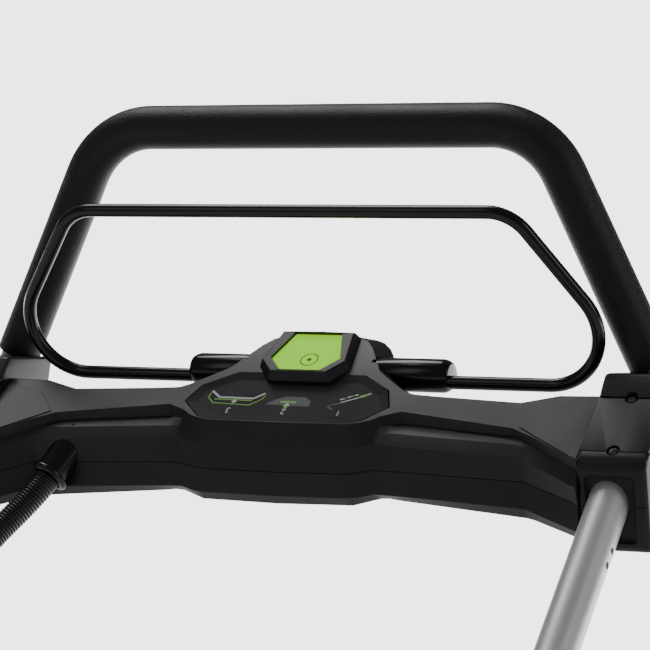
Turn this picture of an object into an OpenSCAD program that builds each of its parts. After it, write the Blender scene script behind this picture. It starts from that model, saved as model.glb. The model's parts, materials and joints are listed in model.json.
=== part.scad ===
// Cordless push lawn mower with a folding, telescoping handle.
// The deck stands on the ground plane z = 0, its front faces -Y, and the operator walks at +Y.
// The control handle is drawn in its own tilted frame: x across, y up the tubes, z off the console.

/* [Handle] */
// Angle of the handle tubes above the ground
handle_tilt = 36; // [30:1:42]
// Distance from the fold pivot to the bail axis, measured along the tubes
handle_len = 1000; // [900:10:1100]
// Distance of each handle tube from the centre line
tube_x = 260; // [240:1:280]
// Height of the fold pivot above the ground
pivot_z = 265; // [255:1:290]
// Outside diameter of the silver upper tubes
upper_tube_d = 29; // [25:0.5:32]
// Wall of the upper tubes
upper_tube_wall = 1.5; // [1.2:0.1:2.5]
// Wall of the black lower tubes
lower_tube_wall = 2.4; // [2:0.1:3]
// Length of upper tube that stays inside the lower tube
tube_overlap = 120; // [100:5:140]
// Place of the telescoping clamp along the handle
clamp_y = -520; // [-560:5:-480]

/* [Loop and bail] */
// Outside diameter of the loop grip
grip_d = 33; // [30:0.5:36]
// Diameter of the steel loop inside the grip
loop_core_d = 25; // [22:0.5:27]
// Angle of the loop above the console face
loop_angle = 51; // [45:1:60]
// Length of the loop legs up to the top run
loop_len = 181; // [160:1:200]
// Half width of the loop at its top corners
loop_top_x = 177; // [160:1:190]
// Half width of the loop at its feet
loop_foot_x = 263; // [255:1:270]
// Diameter of the bail rod
bail_d = 10; // [8:0.5:12]
// Angle of the released bail above the console face
bail_angle = 70; // [66:1:76]
// Height of the bail above its own axis
bail_len = 133; // [115:1:140]
// Half width of the bail at its top corners
bail_top_x = 176; // [160:1:180]
// Half width of the bail at its lower corners
bail_foot_x = 258; // [245:1:260]
// Bend radius of the loop corners
loop_bend = 62; // [50:1:75]
// Bend radius of the bail corners
bail_bend = 34; // [26:1:42]

/* [Console] */
// Height of the console face above the bail axis
face_z = 18; // [16:0.5:22]
// Height of the seam between the console shells
seam_z = -2; // [-5:0.5:2]
// Depth of the console below the bail axis
belly_z = -26; // [-30:1:-22]
// Wall of the plastic shells
shell_wall = 3; // [2.4:0.1:4]
// Diameter of the bail collars
collar_d = 25; // [23:0.5:28]
// Outer end of the bail collars
collar_x = 105; // [98:1:115]
// Inner face of the end housings
housing_x = 239; // [235:1:243]
// Width of the end housings
housing_w = 51; // [46:1:54]
// Outside diameter of the corrugated conduit
conduit_d = 19.5; // [17:0.5:20]

/* [Deck] */
// Width of the cutting deck
deck_w = 480; // [460:5:480]
// Reach of the deck in front of the blade
deck_front = 310; // [300:5:330]
// Reach of the deck behind the blade
deck_rear = 265; // [255:5:275]
// Height of the deck's lower edge
skirt_z = 58; // [50:1:66]
// Height of the deck's flat top
deck_z = 190; // [184:1:196]
// Wall of the deck
deck_wall = 3.5; // [3:0.5:5]
// Length of the blade
blade_len = 455; // [430:5:460]
// Diameter of the motor shaft
shaft_d = 16; // [14:1:18]
// Height of the top of the motor cover
cover_z = 342; // [340:1:352]

/* [Wheels] */
// Radius of the front wheels
front_wheel_r = 100; // [90:1:105]
// Radius of the rear wheels
rear_wheel_r = 110; // [105:1:115]
// Width of the tyres
tyre_w = 44; // [38:1:46]
// Inner face of the tyres
tyre_x = 256; // [255:1:260]
// Distance of the wheels in front of and behind the blade
wheel_y = 236; // [230:1:242]
// Length of the height arms
arm_len = 55; // [50:1:60]
// Drop of the wheel axles below their height pivots
arm_drop = 18; // [14:1:22]
// Diameter of the wheel and height axles
axle_d = 12; // [10:1:14]

/* [Hidden] */
// Running clearance on a radius
run = 0.06;
// Clearance between pieces of different bodies
gap = 0.4;
// Straight runs lap over the bends they join, on a slightly larger radius
lap = 0.5;
lap_skin = 0.02;
// Thickness of the thin slices that blended blocks are stretched between
slice_t = 0.2;
// Steps round a true round
round_fn = 64;
// Steps round a blended corner
soft_fn = 32;

upper_r = upper_tube_d / 2;
lower_in_r = upper_r + run;
lower_r = lower_in_r + lower_tube_wall;
tube_z = -4;
housing_front = -100;

front_reach = wheel_y + front_wheel_r;
pivot_back = 210;
loop_foot = [16, -8];
loop_tip_y = loop_foot[0] + loop_len * cos(loop_angle);
loop_tip_z = loop_foot[1] + loop_len * sin(loop_angle);
rise_y = handle_len * cos(handle_tilt) + tube_z * sin(handle_tilt);
rise_z = handle_len * sin(handle_tilt) - tube_z * cos(handle_tilt);
tip_back = loop_tip_y * cos(handle_tilt) - loop_tip_z * sin(handle_tilt) + grip_d / 2;
rear_reach = pivot_back + rise_y + tip_back;
blade_y = (front_reach - rear_reach) / 2;
pivot_y = blade_y + pivot_back;
bail_y = pivot_y + rise_y;
bail_z = pivot_z + rise_z;

arm_reach = sqrt(arm_len * arm_len - arm_drop * arm_drop);
front_y = blade_y - wheel_y;
rear_y = blade_y + wheel_y;
front_pivot = [front_y - arm_reach, front_wheel_r + arm_drop];
rear_pivot = [rear_y - arm_reach, rear_wheel_r + arm_drop];
link_rise = 30;
arm_t = 5;
arm_x = deck_w / 2 + 3;
link_x = arm_x + arm_t + gap;
link_t = 4;
axle_r = axle_d / 2;
hub_r = 22;
blade_z = 74;
well_floor = 268;
battery = [92, 130, 62];
lid_y = blade_y - 34;
lid_z = cover_z + 3;
flap_y = blade_y + deck_rear + 9;
flap_z = deck_z - 8;

lip_y = 10;
lip_z = -17;
socket_r = 13;
board_z = -14;
bezel_z = 24;
button_mid = 12;
tube_top_y = -40;
grip_start = 24;
brace_y = -760;
bracket_x = 239;
pivot_r = 5;
knob_x = tube_x + lower_r + gap;
chute_w = 200;
flap_w = 230;
well_y = blade_y - 10;
cable_x = 238;
cable_z = tube_z + 22.5;
clip_places = [-600, -830];
gland_at = [-70, blade_y + 168, 262];
gland_tilt = -68;

// Half outlines of the icon plate, the button well and the button, from front to rear centre
plate_half = [[0, -60], [57, -59.5], [81, -46], [76, -28], [52, -12], [0, -12]];
well_half = [[0, -20], [16, -20], [36, 0], [30, 36], [18, 40], [0, 40]];
button_half = [[0, -11], [14, -11], [27, 2], [18, 30], [0, 30]];

// Chosen points of the corrugated conduit: from the console to the first clip, in the handle frame
upper_route = [
  [-171.3, -82, -1.1], [-176, -95, -3], [-180, -106, -4.6], [-185, -119, -6.5], [-193, -136, -8.5],
  [-203, -157, -10], [-212, -182, -11], [-219, -215, -10], [-225, -260, -7], [-230, -315, -1],
  [-234, -375, 7], [-237, -435, 14], [-cable_x, -490, cable_z], [-cable_x, -550, cable_z], [-cable_x, -611, cable_z]
];
// From there down the tube and across to the gland on the motor cover
lower_run = [
  [-cable_x, -612, cable_z], [-cable_x, -660, cable_z], [-cable_x, -720, cable_z],
  [-cable_x, -780, cable_z], [-cable_x, -840, cable_z], [-cable_x, -880, cable_z]
];
lower_route = concat([for (p = lower_run) from_handle(p)], [
  [-222, blade_y + 268, 338], [-190, blade_y + 252, 322], [-150, blade_y + 245, 309],
  [-110, blade_y + 238, 298], [-84, blade_y + 222, 287], [-72, blade_y + 200, 276],
  [-70, blade_y + 178, 266.2]
]);
function from_handle(p) = [
  p[0],
  bail_y + p[1] * cos(handle_tilt) - p[2] * sin(handle_tilt),
  bail_z + p[1] * sin(handle_tilt) + p[2] * cos(handle_tilt)
];

black = [0.03, 0.03, 0.035];
charcoal = [0.11, 0.11, 0.12];
silver = [0.75, 0.76, 0.78];
lime = [0.50, 0.85, 0.10];
steel = [0.6, 0.6, 0.62];
rubber = [0.05, 0.05, 0.05];

// ---------- frames and shared shapes ----------

module on_handle() {
  translate([0, bail_y, bail_z]) rotate([handle_tilt, 0, 0]) children();
}

module sided(side) {
  if (side > 0) children();
  else mirror([1, 0, 0]) children();
}

module both() {
  for (side = [-1, 1]) sided(side) children();
}

module x_rod(x0, x1, r) {
  translate([x0, 0, 0]) rotate([0, 90, 0]) cylinder(h = x1 - x0, r = r, $fn = round_fn);
}

module y_rod(y0, y1, r) {
  translate([0, y0, 0]) rotate([-90, 0, 0]) cylinder(h = y1 - y0, r = r, $fn = round_fn);
}

// An extrusion along X of an outline given in y and z
module x_slab(x0, x1, outline) {
  translate([x0, 0, 0]) rotate([90, 0, 90]) linear_extrude(x1 - x0) polygon(outline);
}

function unit(v) = v / norm(v);
function turn_at(a, b, c) = acos(unit(b - a) * unit(c - b));
function cross_z(u, v) = u[0] * v[1] - u[1] * v[0];

// A straight stretch of rod in the XY plane
module rod_run(a, b, r) {
  d = b - a;
  translate([a[0], a[1], 0]) rotate([0, 0, atan2(d[1], d[0])]) rotate([0, 90, 0])
    cylinder(h = norm(d), r = r, $fn = round_fn);
}

// A bend of radius bend at corner b, in the XY plane
module rod_bend(a, b, c, bend, r) {
  u = unit(b - a);
  v = unit(c - b);
  turn = turn_at(a, b, c);
  hand = cross_z(u, v) > 0 ? 1 : -1;
  start = b - u * bend * tan(turn / 2);
  centre = start + hand * bend * [-u[1], u[0]];
  from = atan2(start[1] - centre[1], start[0] - centre[0]);
  translate([centre[0], centre[1], 0]) rotate([0, 0, hand > 0 ? from : from - turn])
    rotate_extrude(angle = turn, $fn = 96) translate([bend, 0]) circle(r = r, $fn = round_fn);
}

// A rod along flat points, rounded at every inner corner
module bent_rod(pts, bends, r) {
  last = len(pts) - 1;
  cut = [for (i = [0 : last]) i == 0 || i == last ? 0
    : bends[i] * tan(turn_at(pts[i - 1], pts[i], pts[i + 1]) / 2)];
  for (i = [0 : last - 1]) {
    u = unit(pts[i + 1] - pts[i]);
    back = i == 0 ? 0 : lap;
    ahead = i == last - 1 ? 0 : lap;
    rod_run(pts[i] + u * (cut[i] - back), pts[i + 1] - u * (cut[i + 1] - ahead), r + lap_skin);
  }
  for (i = [1 : last - 1]) rod_bend(pts[i - 1], pts[i], pts[i + 1], bends[i], r);
}

// A smooth curve through chosen points, and a tube swept along it
function spline(p, i, t) =
  let (a = p[max(i - 1, 0)], b = p[i], c = p[i + 1], d = p[min(i + 2, len(p) - 1)])
  0.5 * (2 * b + (c - a) * t + (2 * a - 5 * b + 4 * c - d) * t * t
    + (3 * b - a - 3 * c + d) * t * t * t);
function smooth(p, steps) = [
  for (i = [0 : len(p) - 2]) for (k = [0 : steps - 1]) spline(p, i, k / steps),
  p[len(p) - 1]
];

module swept_tube(path, r, sides = 16) {
  n = len(path);
  ring = [for (i = [0 : n - 1])
    let (d = unit(path[min(i + 1, n - 1)] - path[max(i - 1, 0)]), u = unit(cross([0, 0.1, 1], d)), v = cross(d, u))
    for (k = [0 : sides - 1]) path[i] + r * (cos(360 * k / sides) * u + sin(360 * k / sides) * v)];
  walls = [for (i = [0 : n - 2]) for (k = [0 : sides - 1])
    let (j = (k + 1) % sides) [i * sides + k, (i + 1) * sides + k, (i + 1) * sides + j, i * sides + j]];
  polyhedron(ring, concat(walls, [[for (k = [0 : sides - 1]) k],
    [for (k = [sides - 1 : -1 : 0]) (n - 1) * sides + k]]), convexity = 8);
}

// A flat plate with round corners and true cylinders
module round_plate(w, y0, y1, h, r) {
  for (x = [-w / 2 + r, w / 2 - r]) for (y = [y0 + r, y1 - r])
    translate([x, y, 0]) cylinder(h = h, r = r, $fn = soft_fn);
  translate([-w / 2 + r, y0, 0]) cube([w - 2 * r, y1 - y0, h]);
  translate([-w / 2, y0 + r, 0]) cube([w, y1 - y0 - 2 * r, h]);
}

// ---------- console ----------

// Half outlines of the console seen square to its face, from front centre round to rear centre
centre_low = [[0, -99], [56, -98], [70, -92], [77, -86], [90, -32], [72, 4], [58, 44], [44, 50], [0, 50]];
centre_top = [[0, -70], [56, -69], [72, -64], [84, -50], [88, -32], [66, 4], [50, 38], [38, 44], [0, 44]];
arm_low = [[70, -86], [196, -96], [238.6, -118], [238.6, -16], [205, -16], [165, -36], [70, -26]];
arm_top = [[70, -66], [196, -78], [238.6, -98], [238.6, -22], [205, -22], [168, -40], [70, -32]];

function mirrored(half) = concat(half, [for (i = [len(half) - 1 : -1 : 0]) [-half[i][0], half[i][1]]]);

module slice(outline, z, inset = 0) {
  translate([0, 0, z]) linear_extrude(slice_t) offset(delta = -inset) polygon(outline);
}

// The console above its seam, and the same block drawn smaller for its cavity
module upper_block(inset, z_low, z_high) {
  hull() {
    slice(mirrored(centre_low), z_low, inset);
    slice(mirrored(centre_top), z_high, inset);
  }
  both() hull() {
    slice(arm_low, z_low, inset);
    slice(arm_top, z_high, inset);
  }
}

// The console below its seam: its front leans forward to a lip, then turns under
module lower_block(inset, z_high, z_low) {
  hull() {
    slice(mirrored(centre_low), z_high, inset);
    translate([0, -lip_y, 0]) slice(mirrored(centre_low), lip_z + inset, inset);
    slice(mirrored(centre_low), z_low, inset + 3);
  }
  both() hull() {
    slice(arm_low, z_high, inset);
    translate([0, -lip_y, 0]) slice(arm_low, lip_z + inset, inset);
    slice(arm_low, z_low, inset + 3);
  }
}

module collar_bores() {
  both() x_rod(45, collar_x + 20, collar_d / 2 + run);
}

module socket_axis() {
  translate([-176, -95, -3]) rotate([8, 0, -20]) children();
}

module socket_hole() {
  socket_axis() {
    y_rod(-40, 30, socket_r);
    y_rod(-40, -7.9, socket_r + 2.1);
  }
}

module console_upper() {
  color(charcoal) on_handle() difference() {
    upper_block(0, seam_z, face_z);
    upper_block(shell_wall, seam_z - 0.1, face_z - shell_wall - 2);
    collar_bores();
    translate([0, 0, face_z - 2]) linear_extrude(10) polygon(mirrored(plate_half));
    translate([0, 0, face_z - 12]) linear_extrude(30) polygon(mirrored(well_half));
    socket_hole();
  }
}

module console_lower() {
  color(charcoal) on_handle() difference() {
    lower_block(0, seam_z - 0.2, belly_z);
    lower_block(shell_wall, seam_z, belly_z + shell_wall);
    collar_bores();
    socket_hole();
  }
}

// Icon plate: a raised-edge panel let into the console face in front of the button
module icon_plate() {
  color(black) on_handle() translate([0, 0, face_z - 2]) linear_extrude(1.6) difference() {
    offset(delta = -0.15) polygon(mirrored(plate_half));
    offset(delta = 0.15) polygon(mirrored(well_half));
  }
}

module button_bezel() {
  color(black) on_handle() difference() {
    hull() {
      translate([0, 0, face_z - 11]) linear_extrude(1) offset(delta = -0.15) polygon(mirrored(well_half));
      translate([0, 0, bezel_z]) linear_extrude(1) offset(delta = -2) polygon(mirrored(well_half));
    }
    translate([0, 0, face_z - 20]) linear_extrude(60) offset(delta = gap) polygon(mirrored(button_half));
  }
}

module start_button() {
  color(lime) on_handle() {
    translate([0, 0, face_z - 6]) linear_extrude(bezel_z + 2 - face_z + 6) polygon(mirrored(button_half));
    translate([0, button_mid, face_z - 9.8]) cylinder(h = 4, r = 5, $fn = round_fn);
  }
}

// Return spring under the button, drawn as a coil of rings on a thin sleeve
module button_spring() {
  color(steel) on_handle() translate([0, button_mid, board_z + 1.6 + gap]) difference() {
    cylinder(h = face_z - 9.8 - board_z - 1.6 - 2 * gap, r = 4.5, $fn = round_fn);
    translate([0, 0, -1]) cylinder(h = 40, r = 3.7, $fn = round_fn);
  }
}

module control_board() {
  color([0.05, 0.3, 0.12]) on_handle() translate([0, 0, board_z]) difference() {
    translate([-38, -70, 0]) cube([76, 100, 1.6]);
    for (x = [-32, 32]) for (y = [-64, 24]) translate([x, y, -1]) cylinder(h = 4, r = 1.6, $fn = round_fn);
  }
}

// Switch that the bail cam presses when the bail is pulled to the loop
module bail_switch() {
  color([0.15, 0.15, 0.4]) on_handle() {
    translate([43, -26, -6]) cube([12, 10, 8]);
    translate([47, -16.2, -1]) cube([4, 4, 1.5]);
  }
}

module bail_collars() {
  color(black) on_handle() both() difference() {
    union() {
      x_rod(60, collar_x - 3, collar_d / 2);
      translate([collar_x - 3, 0, 0]) rotate([0, 90, 0])
        cylinder(h = 3, r1 = collar_d / 2, r2 = collar_d / 2 - 3, $fn = round_fn);
    }
    x_rod(50, collar_x + 5, bail_d / 2 + run);
  }
}

// ---------- loop, bail and tubes ----------

module in_plane(angle, foot) {
  translate([0, foot[0], foot[1]]) rotate([angle, 0, 0]) children();
}

loop_pts = [[-loop_foot_x, 0], [-loop_top_x, loop_len], [loop_top_x, loop_len], [loop_foot_x, 0]];
function along_leg(t, side = 1) = [side * (loop_foot_x + (loop_top_x - loop_foot_x) * t / loop_len), t];
grip_pts = [along_leg(grip_start, -1), loop_pts[1], loop_pts[2], along_leg(grip_start)];

// The same rounded path as a list of points in the loop's own plane
function corner_arc(a, b, c, bend, steps) =
  let (u = unit(b - a), turn = turn_at(a, b, c), hand = cross_z(u, c - b) > 0 ? 1 : -1)
  let (start = b - u * bend * tan(turn / 2), centre = start + hand * bend * [-u[1], u[0]])
  let (from = atan2(start[1] - centre[1], start[0] - centre[0]))
  [for (k = [0 : steps]) let (t = from + hand * turn * k / steps)
    [centre[0] + bend * cos(t), centre[1] + bend * sin(t), 0]];
function rounded_path(pts, bend, steps) = concat(
  [[pts[0][0], pts[0][1], 0]],
  [for (i = [1 : len(pts) - 2]) each corner_arc(pts[i - 1], pts[i], pts[i + 1], bend, steps)],
  [[pts[len(pts) - 1][0], pts[len(pts) - 1][1], 0]]
);

module loop_sweep(pts, r) {
  swept_tube(rounded_path(pts, loop_bend, 10), r, 24);
}

module loop_tube() {
  color(steel) on_handle() in_plane(loop_angle, loop_foot) loop_sweep(loop_pts, loop_core_d / 2);
}

module loop_grip() {
  color(black) on_handle() in_plane(loop_angle, loop_foot) difference() {
    loop_sweep(grip_pts, grip_d / 2);
    loop_sweep([along_leg(0, -1), loop_pts[1], loop_pts[2], along_leg(0)], loop_core_d / 2 + run);
  }
}

bail_in_x = 52;
bail_pts = [
  [-bail_in_x, 0], [-bail_foot_x, 0], [-bail_top_x, bail_len],
  [bail_top_x, bail_len], [bail_foot_x, 0], [bail_in_x, 0]
];

module bail_rod() {
  color(black) on_handle() in_plane(bail_angle, [0, 0])
    bent_rod(bail_pts, [0, bail_bend, bail_bend, bail_bend, bail_bend, 0], bail_d / 2);
}

module bail_cam() {
  color([0.85, 0.85, 0.8]) on_handle() {
    difference() {
      union() {
        x_rod(bail_in_x - 6, bail_in_x + 5, 8);
        translate([bail_in_x - 6, -14, 2.4]) cube([11, 12, 3]);
      }
      x_rod(bail_in_x, bail_in_x + 20, bail_d / 2 + lap_skin);
    }
  }
}

module bail_spring() {
  color(steel) on_handle() mirror([1, 0, 0]) difference() {
    x_rod(bail_in_x, bail_in_x + 7, bail_d / 2 + 2.2);
    x_rod(bail_in_x - 1, bail_in_x + 20, bail_d / 2 + gap);
  }
}

// Side outline of an end housing, in y and z: slanted nose, flat top, raised heel that takes the loop
housing_side = [
  [housing_front + 2, 21], [housing_front + 8, 25], [-38, 25], [-18, 30], [8, 34], [36, 27],
  [40, 8], [28, -18], [8, -32], [-60, -36], [housing_front - 24, -34], [housing_front - 27, -28]
];
cover_y0 = -88;
cover_y1 = -36;

module end_housing(side) {
  color(black) on_handle() sided(side) difference() {
    x_slab(housing_x, housing_x + housing_w, housing_side);
    translate([housing_x - 1, cover_y0, 25 - 2.5]) cube([housing_w + 2, cover_y1 - cover_y0, 10]);
    translate([tube_x, 0, tube_z]) y_rod(-160, tube_top_y, upper_r + run / 2);
    in_plane(loop_angle, loop_foot) rod_run(loop_pts[2], along_leg(-gap), loop_core_d / 2 + run);
    in_plane(loop_angle, loop_foot)
      rod_run(loop_pts[2], along_leg(grip_start - gap), grip_d / 2 + run);
    for (y = [cover_y0 + 7, cover_y1 - 7]) translate([tube_x + 4, y, 12]) cylinder(h = 20, r = 1.6, $fn = round_fn);
  }
}

module end_cover(side) {
  color(black) on_handle() sided(side) difference() {
    translate([housing_x + 0.2, cover_y0 + 0.2, 25 - 2.4]) cube([housing_w - 0.4, cover_y1 - cover_y0 - 0.4, 2.4]);
    for (y = [cover_y0 + 7, cover_y1 - 7]) translate([tube_x + 4, y, 20]) {
      cylinder(h = 20, r = 1.7, $fn = round_fn);
      translate([0, 0, 3.4]) cylinder(h = 3, r = 4.2, $fn = round_fn);
    }
  }
}

module housing_screws() {
  color(steel) on_handle() both() for (y = [cover_y0 + 7, cover_y1 - 7]) translate([tube_x + 4, y, 0]) {
    translate([0, 0, 14]) cylinder(h = 9.5, r = 1.55, $fn = round_fn);
    translate([0, 0, 23.4]) difference() {
      cylinder(h = 1.2, r = 3.6, $fn = round_fn);
      translate([-2.2, -0.4, 0.5]) cube([4.4, 0.8, 2]);
      translate([-0.4, -2.2, 0.5]) cube([0.8, 4.4, 2]);
    }
  }
}

module upper_tube(side) {
  color(silver) on_handle() translate([side * tube_x, 0, tube_z]) difference() {
    y_rod(clamp_y - tube_overlap, tube_top_y - 1, upper_r);
    y_rod(clamp_y - tube_overlap - 1, tube_top_y + 1, upper_r - upper_tube_wall);
    for (y = [-150, -163]) translate([side * 5, y, 0]) rotate([0, side * 90, 0])
      cylinder(h = 20, r = 2.6, $fn = round_fn);
  }
}

module lower_tube(side) {
  color(black) on_handle() translate([side * tube_x, 0, tube_z]) difference() {
    y_rod(-handle_len - 16, clamp_y - 6, lower_r);
    y_rod(-handle_len - 20, clamp_y, lower_in_r);
    translate([0, -handle_len, 0]) x_rod(-30, 30, pivot_r + run);
  }
}

module handle_brace() {
  color(black) on_handle() translate([0, brace_y, tube_z]) difference() {
    x_rod(-tube_x + lower_r - 1, tube_x - lower_r + 1, 10);
    x_rod(-tube_x, tube_x, 8);
    both() translate([tube_x, 0, 0]) y_rod(-30, 30, lower_r + 0.02);
  }
}

module clamp_collars() {
  color(black) on_handle() translate([0, 0, tube_z]) both() difference() {
    union() {
      translate([tube_x, 0, 0]) y_rod(clamp_y - 34, clamp_y + 10, lower_r + 4);
      translate([tube_x - 10, clamp_y - 22, lower_r]) cube([20, 20, 13]);
    }
    translate([tube_x, 0, 0]) y_rod(clamp_y - 40, clamp_y - 6, lower_r);
    translate([tube_x, 0, 0]) y_rod(clamp_y - 10, clamp_y + 20, lower_in_r);
    translate([tube_x - 5.4, clamp_y - 30, lower_r + 4.4]) cube([10.8, 40, 20]);
    translate([0, clamp_y - 12, lower_r + 8]) x_rod(tube_x - 30, tube_x + 30, 2.5);
  }
}

module lever_pins() {
  color(steel) on_handle() translate([0, 0, tube_z]) both()
    translate([0, clamp_y - 12, lower_r + 8]) x_rod(tube_x - 11, tube_x + 11, 2.5);
}

module cam_lever(side) {
  color(lime) on_handle() translate([0, 0, tube_z]) sided(side) difference() {
    union() {
      translate([0, clamp_y - 12, lower_r + 8]) x_rod(tube_x - 5, tube_x + 5, 3.55);
      translate([tube_x - 5, clamp_y - 60, lower_r + 7]) cube([10, 48, 4]);
      translate([tube_x - 9, clamp_y - 72, lower_r + 6.5]) cube([18, 28, 5]);
    }
    translate([0, clamp_y - 12, lower_r + 8]) x_rod(tube_x - 30, tube_x + 30, 2.5 + run);
  }
}

// ---------- cable ----------

module cable_clips() {
  color(black) on_handle() translate([0, 0, tube_z]) for (y = clip_places) difference() {
    union() {
      translate([-tube_x, 0, 0]) y_rod(y - 8, y + 8, lower_r + 2.5);
      translate([-cable_x, 0, cable_z - tube_z]) y_rod(y - 8, y + 8, conduit_d / 2 + 2);
    }
    translate([-tube_x, 0, 0]) y_rod(y - 10, y + 10, lower_r);
    translate([-cable_x, 0, cable_z - tube_z]) y_rod(y - 10, y + 10, conduit_d / 2 + gap);
  }
}

module conduit_socket() {
  color(black) on_handle() socket_axis() difference() {
    union() {
      y_rod(-8, 22, socket_r - 0.05);
      y_rod(-11, -8, socket_r + 2);
    }
    y_rod(-20, 18, conduit_d / 2 + 0.8);
  }
}

module conduit_upper() {
  color(black) on_handle() swept_tube(smooth(upper_route, 5), conduit_d / 2);
}

module conduit_lower() {
  color(black) swept_tube(smooth(lower_route, 5), conduit_d / 2);
}

module conduit_gland() {
  color(black) translate(gland_at) rotate([gland_tilt, 0, 0]) difference() {
    cylinder(h = 26, r = conduit_d / 2 + 4, $fn = round_fn);
    translate([0, 0, 6]) cylinder(h = 30, r = conduit_d / 2 + 1.2, $fn = round_fn);
  }
}

// ---------- deck ----------

module deck_slice(z, inset) {
  w = deck_w / 2 - inset;
  front = blade_y - deck_front + inset;
  back = blade_y + deck_rear - inset;
  translate([0, 0, z]) linear_extrude(slice_t) offset(r = 20, $fn = soft_fn) offset(delta = -20) polygon([
    [-w, back], [-w, front + 110], [-w + 70, front + 25], [-70, front],
    [70, front], [w - 70, front + 25], [w, front + 110], [w, back]
  ]);
}

module deck_pan(inset, low, top) {
  hull() {
    deck_slice(low, inset);
    deck_slice(deck_z - 50, inset);
    deck_slice(top - slice_t, inset + 24);
  }
}

module deck_shell() {
  color(black) difference() {
    deck_pan(0, skirt_z, deck_z);
    deck_pan(deck_wall, skirt_z - 1, deck_z - deck_wall);
    translate([0, blade_y, 0]) cylinder(h = 300, r = shaft_d / 2 + 14, $fn = round_fn);
    for (p = [front_pivot, rear_pivot]) translate([0, p[0], p[1]]) x_rod(-300, 300, axle_r + run);
    translate([-chute_w / 2, blade_y + deck_rear - 60, skirt_z + 22]) cube([chute_w, 80, deck_z - skirt_z - 34]);
  }
}

module handle_brackets() {
  color(black) both() difference() {
    union() {
      translate([172, pivot_y - 42, deck_z]) cube([62, 72, 5]);
      translate([bracket_x - 5, pivot_y - 42, deck_z]) cube([5, 72, pivot_z - deck_z]);
      translate([0, pivot_y, pivot_z]) x_rod(bracket_x - 5, bracket_x, 26);
    }
    translate([0, pivot_y, pivot_z]) x_rod(200, 260, pivot_r);
    for (y = [-30, 18]) translate([190, pivot_y + y, deck_z - 5]) cylinder(h = 20, r = 3.2, $fn = round_fn);
  }
}

module pivot_bolts() {
  color(steel) both() {
    translate([0, pivot_y, pivot_z]) {
      x_rod(bracket_x - 11, bracket_x - 5, 9);
      x_rod(bracket_x - 5, knob_x + 12, pivot_r);
      difference() {
        x_rod(bracket_x + 0.1, tube_x - lower_r - 0.3, 11);
        x_rod(bracket_x, tube_x - lower_r, pivot_r - 0.01);
      }
    }
    for (y = [-30, 18]) translate([190, pivot_y + y, deck_z + 5]) cylinder(h = 5, r = 6.2, $fn = 6);
  }
}

module fold_knob(side) {
  color(black) sided(side) translate([0, pivot_y, pivot_z]) difference() {
    union() {
      x_rod(knob_x, knob_x + 6, 12);
      for (a = [0 : 60 : 359]) rotate([a, 0, 0]) translate([0, 0, 15]) x_rod(knob_x + 4, knob_x + 18, 5);
      x_rod(knob_x + 4, knob_x + 18, 16);
    }
    x_rod(knob_x - 1, knob_x + 13, pivot_r + run);
  }
}

module flap_rod() {
  color(steel) translate([0, flap_y, flap_z]) x_rod(-flap_w / 2 - 10, flap_w / 2 + 10, 3);
  color(steel) for (x = [-1, 1]) translate([x * (flap_w / 2 + 7), 0, 0]) difference() {
    translate([-2, blade_y + deck_rear - 30, flap_z - 8]) cube([4, 46, 16]);
    translate([0, flap_y, flap_z]) x_rod(-5, 5, 2.9);
    translate([-5, blade_y + deck_rear - 40, flap_z - 20]) cube([10, 34, 40]);
  }
}

module rear_flap() {
  color(black) translate([0, flap_y, flap_z]) difference() {
    union() {
      x_rod(-flap_w / 2, flap_w / 2, 6);
      x_slab(-flap_w / 2, flap_w / 2, [[-2, 0], [5, 0], [18, -104], [14, -106], [2, -40]]);
      for (x = [-80, -40, 0, 40, 80]) x_slab(x - 1.5, x + 1.5, [[2, 0], [8, 0], [20, -100], [14, -104]]);
    }
    x_rod(-flap_w / 2 - 1, flap_w / 2 + 1, 3 + run);
  }
}

// ---------- motor and battery ----------

module motor_can() {
  color(charcoal) translate([0, blade_y, deck_z]) difference() {
    union() {
      cylinder(h = 4, r = 98, $fn = round_fn);
      cylinder(h = 66, r = 82, $fn = round_fn);
      translate([0, 0, -22]) cylinder(h = 30, r = shaft_d / 2 + 12, $fn = round_fn);
    }
    translate([0, 0, 4]) cylinder(h = 58, r = 78, $fn = round_fn);
    translate([0, 0, -30]) cylinder(h = 60, r = shaft_d / 2 + run, $fn = round_fn);
    for (a = [45 : 90 : 359]) rotate(a) translate([90, 0, -1]) cylinder(h = 8, r = 3, $fn = round_fn);
  }
}

module rotor_shaft() {
  color(steel) translate([0, blade_y, 0]) difference() {
    union() {
      translate([0, 0, blade_z + 4]) cylinder(h = deck_z + 50 - blade_z, r = shaft_d / 2, $fn = round_fn);
      translate([0, 0, blade_z + 4]) cylinder(h = 12, r = 28, $fn = round_fn);
      translate([0, 0, deck_z + 10]) cylinder(h = 44, r = 70, $fn = round_fn);
    }
    translate([0, 0, blade_z + 3]) cylinder(h = 31, r = 5, $fn = round_fn);
  }
}

module blade_tip(side) {
  mirror([0, side > 0 ? 0 : 1, 0]) mirror([side > 0 ? 0 : 1, 0, 0]) {
    translate([blade_len / 2 - 78, 18, 4])
      x_slab(0, 70, [[0, -4], [0, 0], [10, 12], [12, 10.5], [2, -4]]);
  }
}

module blade() {
  color(steel) translate([0, blade_y, blade_z]) difference() {
    union() {
      translate([-blade_len / 2 + 12, -25, 0]) cube([blade_len - 24, 45, 4]);
      intersection() {
        translate([-blade_len / 2, -25, 0]) cube([blade_len, 45, 4]);
        cylinder(h = 4, r = blade_len / 2, $fn = round_fn);
      }
      for (side = [-1, 1]) blade_tip(side);
    }
    translate([0, 0, -1]) cylinder(h = 10, r = 5.2, $fn = round_fn);
  }
}

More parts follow.
